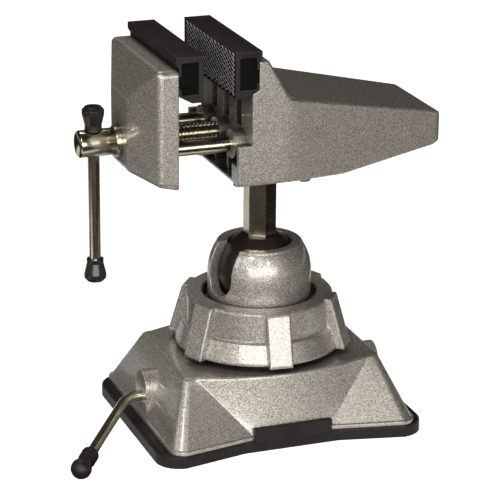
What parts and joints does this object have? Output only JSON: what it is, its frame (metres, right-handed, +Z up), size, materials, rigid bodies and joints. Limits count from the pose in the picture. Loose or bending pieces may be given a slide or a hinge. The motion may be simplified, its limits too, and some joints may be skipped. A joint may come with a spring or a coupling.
{
  "type": "suction base vise",
  "caption": "Small bench vise with toothed jaw pads, carried on a lockable ball joint over a suction base that a cranked lever works.",
  "frame": {"origin": "point of the surface that the suction pad stands on, straight below the upright post's axis", "axes": "+Z up along the post, +X from the movable jaw towards the tail of the vise body, -Y the side of the base lever"},
  "size_m": [0.1961, 0.1167, 0.195],
  "materials": {
    "grey_sparkle_paint": "warm silver-grey sparkle paint on a casting",
    "dark_casting": "dark oiled casting",
    "yellow_zinc_steel": "yellow-passivated zinc plating on drawn bar",
    "plain_steel": "clear zinc plating",
    "black_rubber": "moulded, semi-matt",
    "black_plastic": "moulded, semi-matt"
  },
  "bodies": {
    "base": {"base_housing": "grey_sparkle_paint", "suction_pad": "black_rubber", "ball_seat": "black_plastic"},
    "lever": {"lever_rod": "yellow_zinc_steel", "lever_knob": "black_plastic", "lift_cam": "plain_steel", "cam_pin": "plain_steel", "lever_clip": "plain_steel"},
    "lift": {"lift_yoke": "plain_steel", "pad_plate": "plain_steel"},
    "ring": {"lock_ring": "grey_sparkle_paint"},
    "dome": {"socket_dome": "grey_sparkle_paint"},
    "ball": {"ball": "dark_casting"},
    "head": {"post": "yellow_zinc_steel", "ball_screw": "plain_steel", "post_pin": "plain_steel", "vise_body": "grey_sparkle_paint", "bottom_cover": "plain_steel", "cover_screws": "plain_steel", "fixed_jaw_pad": "black_plastic"},
    "carriage": {"movable_jaw": "grey_sparkle_paint", "movable_jaw_pad": "black_plastic", "guide_rod_near": "plain_steel", "guide_rod_far": "plain_steel", "spindle_washer": "plain_steel"},
    "spindle": {"spindle": "plain_steel", "spindle_clip": "plain_steel"},
    "handle": {"handle_bar": "yellow_zinc_steel", "handle_top_cap": "black_plastic", "handle_bottom_cap": "black_plastic"}
  },
  "joints": [
    {"name": "lever_turn", "type": "hinge", "parent": "base", "child": "lever", "pos_m": [0, 0, 0.0165], "axis": [-1, 0, 0], "range_deg": [0, 180]},
    {"name": "pad_lift", "type": "slide", "parent": "base", "child": "lift", "axis": [0, 0, 1], "range_m": [0, 0.004]},
    {"name": "ring_turn", "type": "hinge", "parent": "base", "child": "ring", "pos_m": [0, 0, 0.05], "axis": [0, 0, 1], "range_deg": [0, 180]},
    {"name": "dome_swivel", "type": "hinge", "parent": "base", "child": "dome", "pos_m": [0, 0, 0.075], "axis": [0, 0, 1], "continuous": true},
    {"name": "ball_tilt", "type": "hinge", "parent": "dome", "child": "ball", "pos_m": [0, 0, 0.075], "axis": [0.3007, -0.9537, 0], "range_deg": [-22, 40]},
    {"name": "head_spin", "type": "hinge", "parent": "ball", "child": "head", "pos_m": [0, 0, 0.075], "axis": [0, 0, 1], "continuous": true},
    {"name": "jaw_slide", "type": "slide", "parent": "head", "child": "carriage", "axis": [1, 0, 0], "range_m": [-0.0452, 0.0143]},
    {"name": "spindle_turn", "type": "hinge", "parent": "carriage", "child": "spindle", "pos_m": [-0.0834, 0, 0.1474], "axis": [1, 0, 0], "range_deg": [-8136, 2574]},
    {"name": "handle_slide", "type": "slide", "parent": "spindle", "child": "handle", "axis": [0, 0, 1], "range_m": [0, 0.0504]}
  ],
  "couplings": [
    {"joint": "pad_lift", "follows": "lever_turn", "m_per_rad": 0.0012732},
    {"joint": "spindle_turn", "follows": "jaw_slide", "rad_per_m": 3141.6}
  ]
}
